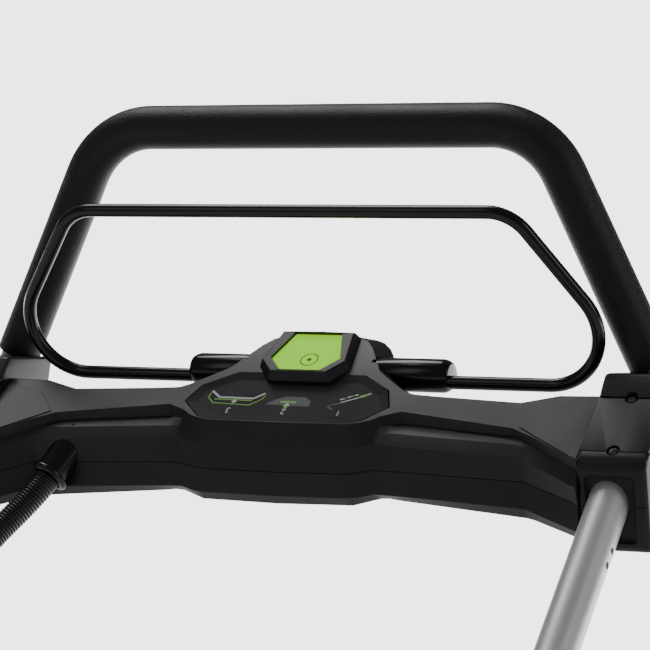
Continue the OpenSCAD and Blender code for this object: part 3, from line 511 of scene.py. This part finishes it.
for digit, x, y in (("3", -44.5, -51.2), ("2", 0, -50.8), ("1", 43.6, -50.6)):
    font = bpy.data.curves.new("digit_" + digit, "FONT")
    font.body = digit
    font.size = 8.5
    font.align_x = font.align_y = "CENTER"
    text = bpy.data.objects.new("digit_" + digit, font)
    bpy.context.scene.collection.objects.link(text)
    bpy.context.view_layer.update()
    mesh = bpy.data.meshes.new_from_object(text.evaluated_get(bpy.context.evaluated_depsgraph_get()))
    bpy.data.objects.remove(text)
    for vert in mesh.vertices:
        px, py = x - vert.co.x, y - vert.co.y
        vert.co = HANDLE @ Vector((px, py, face_z(py) + INNER_FLOOR + 0.1))
    mesh.materials.clear()
    mesh.materials.append(FINISH["print_white"])
    piece = link("digit_" + digit, mesh)
    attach(piece, "upper_handle")

# ---------------------------------------------------------------------------
# Start button and its bezel
# A raised black surround, and a translucent-green key with a painted green glow and a dished face that
# carries a moulded ring. The key slides in the surround.
# ---------------------------------------------------------------------------
BEZEL_IN = [(0, -11.6), (16.3, -11.6), (28.2, 2), (19, 31.2), (0, 31.2)]
KEY = [(0, -11.1), (15.7, -11.1), (27.5, 2), (18.5, 30.6), (0, 30.6)]
MARK_AT, DISH_FLOOR = (2.2, 2.6), 3.68


def shrink(half, amount):
    cx, cy = 0, 10
    result = []
    for x, y in half:
        d = math.hypot(x - cx, y - cy) or 1
        k = max(0, 1 - amount / d)
        result.append((x * k if x else 0, cy + (y - cy) * k))
    return result


bezel = rings("button_surround", [
    on_face(BEZEL_FOOT, -8), on_face(BEZEL_FOOT, 0.3), on_face(BEZEL_RIM, 6.2),
    on_face(shrink(BEZEL_RIM, 1.2), 6.9), on_face(BEZEL_IN, 6.3),
])
key_hole = rings("key_hole", [on_face(BEZEL_IN, -12), on_face(BEZEL_IN, 12)])
carve(bezel, key_hole)
add_bevel(bezel, 0.45)
settle(bezel, "console_black", "upper_handle", ["button_bezel"], [key_hole], 24)

key = rings("start_key", [
    on_face(KEY, -6), on_face(KEY, 4.6), on_face(shrink(KEY, 0.8), 5.1), on_face(shrink(KEY, 5.2), 3.7),
    on_face(shrink(KEY, 5.8), 3.7),
])
add_bevel(key, 0.3)
settle(key, "lime", "start_button", ["start_button"], angle=18)


def key_mark(name, half_width, ring_r, steps=48):
    """A low ridge in a ring on the dished face of the key."""
    verts, faces = [], []
    for i in range(steps):
        a = math.radians(90 + 360 * i / steps)
        for r, h in ((ring_r - half_width, 0), (ring_r, 0.35), (ring_r + half_width, 0)):
            x, y = MARK_AT[0] + r * math.cos(a), MARK_AT[1] + r * math.sin(a)
            verts.append(HANDLE @ Vector((x, y, face_z(y) + DISH_FLOOR + h)))
    for i in range(steps):
        j = (i + 1) % steps
        for k in range(2):
            faces.append((i * 3 + k, j * 3 + k, j * 3 + k + 1, i * 3 + k + 1))
    mesh = bpy.data.meshes.new(name)
    mesh.from_pydata(verts, [], faces)
    face_up(mesh)
    mesh.materials.append(FINISH["key_mark"])
    piece = link(name, mesh)
    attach(piece, "start_button")


FINISH["key_mark"] = finish("key_mark", (0.07, 0.28, 0.01), 0.4, 0.5, 0.03)
key_mark("key_ring", 0.45, 6.6)
key_mark("key_dot", 0.8, 1.0)

# ---------------------------------------------------------------------------
# Bail collars, bail and loop
# The bail is a bent steel rod with a gloss coating that turns in two tapered
# collars. The loop above it is a steel tube in a thick soft-touch grip.
# ---------------------------------------------------------------------------
for side, word in ((-1, "left"), (1, "right")):
    collar = turned("bail_collar_" + word, (side * 56, *COLLAR_SHIFT), (side, 0, 0),
                    [(t + COLLAR_END[side] - 105, r) for t, r in
                     ((-8, 12.4), (43, 12.4), (46, 11.6), (48.4, 10.2), (49.2, 9.2), (49.2, 2))], 56)
    add_bevel(collar, 0.3, 2, 20)
    settle(collar, "gloss_black", "upper_handle", ["bail_collars"], angle=25)


def plane(angle, foot):
    return HANDLE @ Matrix.Translation((0, *foot)) @ Matrix.Rotation(math.radians(angle), 4, "X")


def rounded(points, bends, steps):
    """Flat points with every inner corner rounded to the bend radius."""
    path = [Vector(points[0])]
    for a, b, c, bend in zip(points, points[1:], points[2:], bends):
        a, b, c = Vector(a), Vector(b), Vector(c)
        u, v = (b - a).normalized(), (c - b).normalized()
        turn = u.angle(v)
        hand = 1 if u.x * v.y - u.y * v.x > 0 else -1
        start = b - u * bend * math.tan(turn / 2)
        centre = start + hand * bend * Vector((-u.y, u.x))
        angle = math.atan2(start.y - centre.y, start.x - centre.x)
        for k in range(steps + 1):
            t = angle + hand * turn * k / steps
            path.append(centre + bend * Vector((math.cos(t), math.sin(t))))
    path.append(Vector(points[-1]))
    return [Vector((p.x, p.y, 0)) for p in path]


def split_long(path, longest):
    result = [path[0]]
    for a, b in zip(path, path[1:]):
        n = max(1, math.ceil((b - a).length / longest))
        result += [a.lerp(b, k / n) for k in range(1, n + 1)]
    return result


def flat_sweep(name, path, profile, frame_of):
    """Sweeps a profile, given as points across the path, along a path that lies in one plane."""
    stack = []
    for i, p in enumerate(path):
        d = (path[min(i + 1, len(path) - 1)] - path[max(i - 1, 0)]).normalized()
        side = Vector((-d.y, d.x, 0))
        stack.append([p + side * x + Vector((0, 0, z)) for x, z in profile])
    return rings(name, stack, True, frame_of)


def circle(radius, count):
    angles = [2 * math.pi * k / count for k in range(count)]
    return [(radius * math.cos(a), radius * math.sin(a)) for a in angles]


LOOP_FOOT, LOOP_ANGLE = (16, -8), 51
LOOP_LEN, LOOP_TOP_X, LOOP_FOOT_X, LOOP_BEND = 181, 177, 263, 62
GRIP_R, GRIP_START = 16.5, 8


def leg(t, side):
    return (side * (LOOP_FOOT_X + (LOOP_TOP_X - LOOP_FOOT_X) * t / LOOP_LEN), t)


loop_plane = plane(LOOP_ANGLE, LOOP_FOOT)
grip_corners = [leg(GRIP_START, -1), (-LOOP_TOP_X, LOOP_LEN), (LOOP_TOP_X, LOOP_LEN), leg(GRIP_START, 1)]
grip_path = rounded(grip_corners, [LOOP_BEND] * 2, 24)
grip = flat_sweep("loop_soft_grip", split_long(grip_path, 12), circle(GRIP_R, 48), loop_plane)
settle(grip, "soft_black", "upper_handle", ["loop_grip"], angle=60)

BAIL_ANGLE, BAIL_LEN, BAIL_TOP_X, BAIL_FOOT_X, BAIL_R = 70, 133, 176, 267, 5
BAIL_BEND, BAIL_FOOT_BEND = 34, 42
bail_path = rounded([(-52, 0), (-BAIL_FOOT_X, 0), (-BAIL_TOP_X, BAIL_LEN), (BAIL_TOP_X, BAIL_LEN),
                     (BAIL_FOOT_X, 0), (52, 0)], [BAIL_FOOT_BEND, BAIL_BEND, BAIL_BEND, BAIL_FOOT_BEND], 24)
rod = flat_sweep("bail_bent_rod", split_long(bail_path, 12), circle(BAIL_R, 28), plane(BAIL_ANGLE, (0, 0)))
settle(rod, "gloss_black", "bail", ["bail_rod"], angle=60)

# ---------------------------------------------------------------------------
# End housings
# Each end of the console is a moulded block that clamps the tube and the foot
# of the loop under a screwed cap. Two cross-head screws hold each cap.
# ---------------------------------------------------------------------------
HOUSING_X, HOUSING_W, TUBE_X, TUBE_Z = 239, 51, 260, -4
HOUSING_SIDE = [(-98, 21), (-92, 25), (-38, 25), (-24, 28), (-15, 29.5), (32, -17), (10, -32), (-60, -36),
                (-124, -34), (-127, -28)]
SCREW_X, SCREW_Y = TUBE_X + 4, (-84.5, -35)
CAP_Y = (-86, -34)
PANEL_LINE = [(187, -61), (203, -42), (238.6, -30), (238.6, -93)]
SCREW_PROFILE = [(-8, 1.5), (0, 1.5), (0, 3.9), (0.9, 3.7), (1.4, 2.9), (1.6, 1.2)]
CROSS_ARM = [(-2.4, -0.45), (2.4, -0.45), (2.4, 0.45), (-2.4, 0.45)]


def block(name, outline, x0, x1, side):
    """A moulded block: an outline in y and z, run along x."""
    stack = [[(side * x, y, z) for y, z in outline] for x in (x0, x1)]
    return rings(name, stack)


def screw_sink(side, y):
    return turned("screw_sink", (side * SCREW_X, y, 23.2), (0, 0, 1), [(0, 4.8), (9, 5)], 32)


for side, word in ((-1, "left"), (1, "right")):
    housing = block("housing_" + word, HOUSING_SIDE, HOUSING_X + 0.5, HOUSING_X + HOUSING_W, side)
    add_bevel(housing, 3.2, 4, 20)
    cap_y0, cap_y1 = CAP_Y
    pocket = block("cap_pocket", [(cap_y0, 22.8), (cap_y1, 22.8), (cap_y1, 40), (cap_y0, 40)],
                   HOUSING_X - 5, HOUSING_X + 60, side)
    tube_bore = turned("tube_bore", (side * TUBE_X, -160, TUBE_Z), (0, 1, 0), [(0, 15.1), (150, 15.1)], 48)
    tube_mouth = turned("tube_mouth", (side * TUBE_X, -135, TUBE_Z), (0, 1, 0),
                        [(0, 19), (14, 18), (18, 15.3)], 48)
    foot, top = Vector((*leg(-2, side), 0)), Vector((*leg(90, side), 0))
    loop_bore = turned("loop_bore", foot, top - foot, [(0, 12.8), (9, 12.8), (9.5, 17.0), (92, 17.0)], 48,
                       loop_plane)
    groove = block("seam_groove", [(-140, -2.3), (-110.4, -2.3), (-110.4, -1.8), (-140, -1.8)],
                   HOUSING_X - 5, HOUSING_X + 60, side)
    inset = block("nose_inset", [(-128, -24), (-120, -26), (-97.5, 15), (-106, 20)],
                  HOUSING_X + 6, HOUSING_X + 42, side)
    add_bevel(inset, 4, 4)
    cuts = [pocket, tube_bore, tube_mouth, loop_bore, groove, inset]
    cuts += [screw_sink(side, y) for y in SCREW_Y]
    for cutter in cuts:
        carve(housing, cutter)
    settle(housing, "console_black", "upper_handle", ["end_housing_" + word], cuts, 12)
    panel_stack = [[(side * x, y, face_z(y) + lift) for x, y in PANEL_LINE] for lift in (-1, 0.7)]
    panel = rings("arm_panel_" + word, panel_stack)
    add_bevel(panel, 0.35)
    settle(panel, "console_black", "upper_handle", angle=12)
    low_y, high_y = cap_y0 + 0.5, cap_y1 - 0.5
    cap = block("cap_" + word, [(low_y, 22.9), (high_y, 22.9), (high_y, 25.1), (low_y, 25.1)],
                HOUSING_X + 0.8, HOUSING_X + HOUSING_W - 0.6, side)
    add_bevel(cap, 0.7, 3)
    cap_cuts = [screw_sink(side, y) for y in SCREW_Y]
    for sink in cap_cuts:
        carve(cap, sink)
    settle(cap, "console_black", "upper_handle", ["end_cover_" + word], cap_cuts, 24)

screws = []
for side in (-1, 1):
    for y in SCREW_Y:
        head = turned("screw", (side * SCREW_X, y, 23.0), (0, 0, 1), SCREW_PROFILE, 32)
        cross = []
        for turn in (20, 110):
            c, s = math.cos(math.radians(turn)), math.sin(math.radians(turn))
            flat = [(side * SCREW_X + px * c - py * s, y + px * s + py * c) for px, py in CROSS_ARM]
            stack = [[(*corner, z) for corner in flat] for z in (23.7, 27)]
            cutter = rings("bar", stack)
            cross.append(cutter)
            carve(head, cutter)
        screws.append((head, cross))
for i, (head, cross) in enumerate(screws):
    settle(head, "black_steel", "upper_handle", ["housing_screws"], cross, 30)
    head.name = "cap_screw_%d" % (i + 1)

# ---------------------------------------------------------------------------
# Conduit
# A corrugated plastic sleeve over the switch cable, from a round socket in the
# console down the left tube. Ribs are set along its route at an even pitch.
# ---------------------------------------------------------------------------
CONDUIT_R, RIB_PITCH, RIB_R = 9.75, 2.5, 1.0
CABLE_X, CABLE_Z = 238, 18.5
UPPER_ROUTE = [
    (-171.3, -82, -1.1), (-176, -95, -3), (-180, -106, -4.6), (-185, -119, -6.5), (-193, -136, -8.5),
    (-203, -157, -10), (-212, -182, -11), (-219, -215, -10), (-225, -260, -7), (-230, -315, -1),
    (-234, -375, 7), (-237, -435, 14),
    (-CABLE_X, -490, CABLE_Z), (-CABLE_X, -550, CABLE_Z), (-CABLE_X, -611, CABLE_Z),
]
LOWER_RUN = [(-CABLE_X, y, CABLE_Z) for y in (-612, -660, -720, -780, -840, -880)]
shaft_low, shaft_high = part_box("rotor_shaft")
MOTOR_Y = (shaft_low.y + shaft_high.y) / 2 / MM
LOWER_BEND = [(-222, 268, 338), (-190, 252, 322), (-150, 245, 309), (-110, 238, 298), (-84, 222, 287),
              (-72, 200, 276), (-70, 178, 266.2)]


def smooth_route(points, steps):
    route = []
    for i in range(len(points) - 1):
        a, b, c, d = (Vector(points[min(max(k, 0), len(points) - 1)]) for k in (i - 1, i, i + 1, i + 2))
        for k in range(steps):
            t = k / steps
            bend, twist = 2 * a - 5 * b + 4 * c - d, 3 * b - a - 3 * c + d
            route.append(0.5 * (2 * b + (c - a) * t + bend * t * t + twist * t ** 3))
    route.append(Vector(points[-1]))
    return route


def rib_tree():
    """Ribs and a core along a curve, with the sizes as inputs."""
    tree = bpy.data.node_groups.new("conduit_ribs", "GeometryNodeTree")
    tree.interface.new_socket("Geometry", in_out="INPUT", socket_type="NodeSocketGeometry")
    for name in ("Pitch", "Rib centre radius", "Rib radius", "Core radius"):
        tree.interface.new_socket(name, in_out="INPUT", socket_type="NodeSocketFloat")
    tree.interface.new_socket("Material", in_out="INPUT", socket_type="NodeSocketMaterial")
    tree.interface.new_socket("Geometry", in_out="OUTPUT", socket_type="NodeSocketGeometry")
    new, wire = tree.nodes.new, tree.links.new
    source, result = new("NodeGroupInput"), new("NodeGroupOutput")
    evenly = new("GeometryNodeResampleCurve")
    evenly.mode = "LENGTH"
    wire(source.outputs["Geometry"], evenly.inputs["Curve"])
    wire(source.outputs["Pitch"], evenly.inputs["Length"])
    ring, section = new("GeometryNodeCurvePrimitiveCircle"), new("GeometryNodeCurvePrimitiveCircle")
    ring.inputs["Resolution"].default_value = 28
    section.inputs["Resolution"].default_value = 8
    wire(source.outputs["Rib centre radius"], ring.inputs["Radius"])
    wire(source.outputs["Rib radius"], section.inputs["Radius"])
    rib = new("GeometryNodeCurveToMesh")
    wire(ring.outputs["Curve"], rib.inputs["Curve"])
    wire(section.outputs["Curve"], rib.inputs["Profile Curve"])
    tangent, align = new("GeometryNodeInputTangent"), new("FunctionNodeAlignRotationToVector")
    align.axis = "Z"
    wire(tangent.outputs["Tangent"], align.inputs["Vector"])
    ribs = new("GeometryNodeInstanceOnPoints")
    wire(evenly.outputs["Curve"], ribs.inputs["Points"])
    wire(rib.outputs["Mesh"], ribs.inputs["Instance"])
    wire(align.outputs["Rotation"], ribs.inputs["Rotation"])
    bore, core = new("GeometryNodeCurvePrimitiveCircle"), new("GeometryNodeCurveToMesh")
    bore.inputs["Resolution"].default_value = 28
    wire(source.outputs["Core radius"], bore.inputs["Radius"])
    wire(evenly.outputs["Curve"], core.inputs["Curve"])
    wire(bore.outputs["Curve"], core.inputs["Profile Curve"])
    core.inputs["Fill Caps"].default_value = True
    joined, real = new("GeometryNodeJoinGeometry"), new("GeometryNodeRealizeInstances")
    coat = new("GeometryNodeSetMaterial")
    wire(ribs.outputs["Instances"], joined.inputs["Geometry"])
    wire(core.outputs["Mesh"], joined.inputs["Geometry"])
    wire(joined.outputs["Geometry"], real.inputs["Geometry"])
    wire(real.outputs["Geometry"], coat.inputs["Geometry"])
    wire(source.outputs["Material"], coat.inputs["Material"])
    wire(coat.outputs["Geometry"], result.inputs["Geometry"])
    return tree


RIB_TREE = rib_tree()


def ribbed(name, route, node):
    curve = bpy.data.curves.new(name + "_route", "CURVE")
    curve.dimensions = "3D"
    line = curve.splines.new("POLY")
    line.points.add(len(route) - 1)
    for point, p in zip(line.points, route):
        point.co = (*p, 1)
    guide = bpy.data.objects.new(name, curve)
    bpy.context.scene.collection.objects.link(guide)
    ribs = guide.modifiers.new("ribs", "NODES")
    ribs.node_group = RIB_TREE
    sizes = {"Pitch": RIB_PITCH * MM, "Rib centre radius": (CONDUIT_R - RIB_R) * MM, "Rib radius": RIB_R * MM,
             "Core radius": (CONDUIT_R - 1.1) * MM, "Material": FINISH["conduit_black"]}
    for item in RIB_TREE.interface.items_tree:
        if item.in_out == "INPUT" and item.name in sizes:
            ribs[item.identifier] = sizes[item.name]
    guide.update_tag()
    bpy.context.view_layer.update()
    mesh = bpy.data.meshes.new_from_object(guide.evaluated_get(bpy.context.evaluated_depsgraph_get()))
    bpy.data.objects.remove(guide)
    for face in mesh.polygons:
        face.use_smooth = True
    mesh.set_sharp_from_angle(angle=math.radians(60))
    piece = link(name, mesh)
    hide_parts(node)
    return piece


upper_line = [HANDLE @ p for p in smooth_route(UPPER_ROUTE, 6)]
lower_points = [HANDLE @ Vector(p) for p in LOWER_RUN]
lower_points += [Vector((x, MOTOR_Y + y, z)) * MM for x, y, z in LOWER_BEND]
lower_line = smooth_route(lower_points, 6)
upper_sleeve = ribbed("conduit_upper_ribbed", upper_line, "conduit_upper")
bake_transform(upper_sleeve)
lower_sleeve = ribbed("conduit_lower_ribbed", lower_line, "conduit_lower")
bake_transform(lower_sleeve)

socket = turned("conduit_mouth", SOCKET_AT, SOCKET_AXIS,
                [(-22, 12.9), (8, 12.9), (8.4, 14.4), (9.6, 15), (11.2, 14.7), (12.4, 13.4), (12.8, 12),
                 (12.6, 10.9), (8, 10.4), (-14, 10.4), (-14, 3)], 56)
settle(socket, "gloss_black", "upper_handle", ["conduit_socket"], angle=40)
